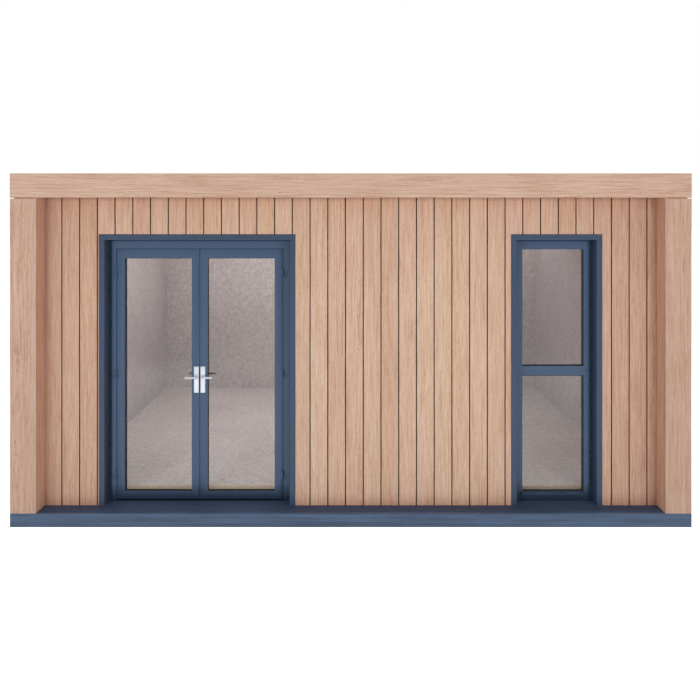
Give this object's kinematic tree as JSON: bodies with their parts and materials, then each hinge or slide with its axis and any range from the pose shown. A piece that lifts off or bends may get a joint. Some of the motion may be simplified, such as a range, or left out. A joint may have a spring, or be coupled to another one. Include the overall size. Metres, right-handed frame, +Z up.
{
  "type": "garden office pod",
  "caption": "Flat-roofed timber-clad garden office pod with projecting wings, painted French doors and a tall fixed window.",
  "frame": {"origin": "middle of the building's plan, on the ground", "axes": "+X along the front to the right as seen from outside, +Y from the front to the back, +Z up"},
  "size_m": [5.2, 3.6, 2.7],
  "materials": {
    "cladding": "matt oiled",
    "sawn_timber": "sawn",
    "sill_timber": "matt",
    "paint": "satin paint",
    "plaster": "speckled matt",
    "membrane": "matt",
    "glass": "clear",
    "threshold_metal": "powder coated",
    "hinge_metal": "satin paint",
    "handle_metal": "satin"
  },
  "bodies": {
    "shell": {"base_skirt": "paint", "floor_joists": "sawn_timber", "front_deck": "paint", "floor_panel": "sawn_timber", "floor_finish": "plaster", "front_wall_left": "plaster", "front_wall_middle": "plaster", "front_wall_right": "plaster", "front_wall_heads": "plaster", "left_wall": "plaster", "right_wall": "plaster", "back_wall": "plaster", "front_cladding_left": "cladding", "front_cladding_middle": "cladding", "front_cladding_right": "cladding", "front_cladding_heads": "cladding", "side_cladding": "cladding", "back_cladding": "cladding", "wing_posts": "sawn_timber", "wing_casings": "cladding", "roof_panel": "sawn_timber", "roof_overhang": "sawn_timber", "roof_membrane": "membrane", "ceiling": "plaster", "soffit": "cladding", "fascia_front": "cladding", "fascia_returns": "cladding", "door_surround": "paint", "door_frame": "paint", "door_threshold": "threshold_metal", "inner_sills": "sill_timber", "frame_hinges": "hinge_metal", "window_surround": "paint", "window_frame": "paint", "window_glass": "glass"},
    "left_door": {"left_door_leaf": "paint", "left_door_glass": "glass", "left_door_hinges": "hinge_metal", "left_handle_plates": "handle_metal"},
    "right_door": {"right_door_leaf": "paint", "right_door_glass": "glass", "right_door_hinges": "hinge_metal", "right_handle_plates": "handle_metal"},
    "left_lever": {"left_lever": "handle_metal"},
    "right_lever": {"right_lever": "handle_metal"}
  },
  "joints": [
    {"name": "left_door", "type": "hinge", "parent": "shell", "child": "left_door", "pos_m": [-1.868, -1.581, 1.1], "axis": [0, 0, -1], "range_deg": [0, 90]},
    {"name": "right_door", "type": "hinge", "parent": "shell", "child": "right_door", "pos_m": [-0.542, -1.581, 1.1], "axis": [0, 0, 1], "range_deg": [0, 90]},
    {"name": "left_lever", "type": "hinge", "parent": "left_door", "child": "left_lever", "pos_m": [-1.231, -1.55, 1.096], "axis": [0, -1, 0], "range_deg": [0, 40], "stiffness_Nm_per_rad": 1.5, "springref_deg": -34.38},
    {"name": "right_lever", "type": "hinge", "parent": "right_door", "child": "right_lever", "pos_m": [-1.179, -1.55, 1.096], "axis": [0, 1, 0], "range_deg": [0, 40], "stiffness_Nm_per_rad": 1.5, "springref_deg": -34.38}
  ]
}
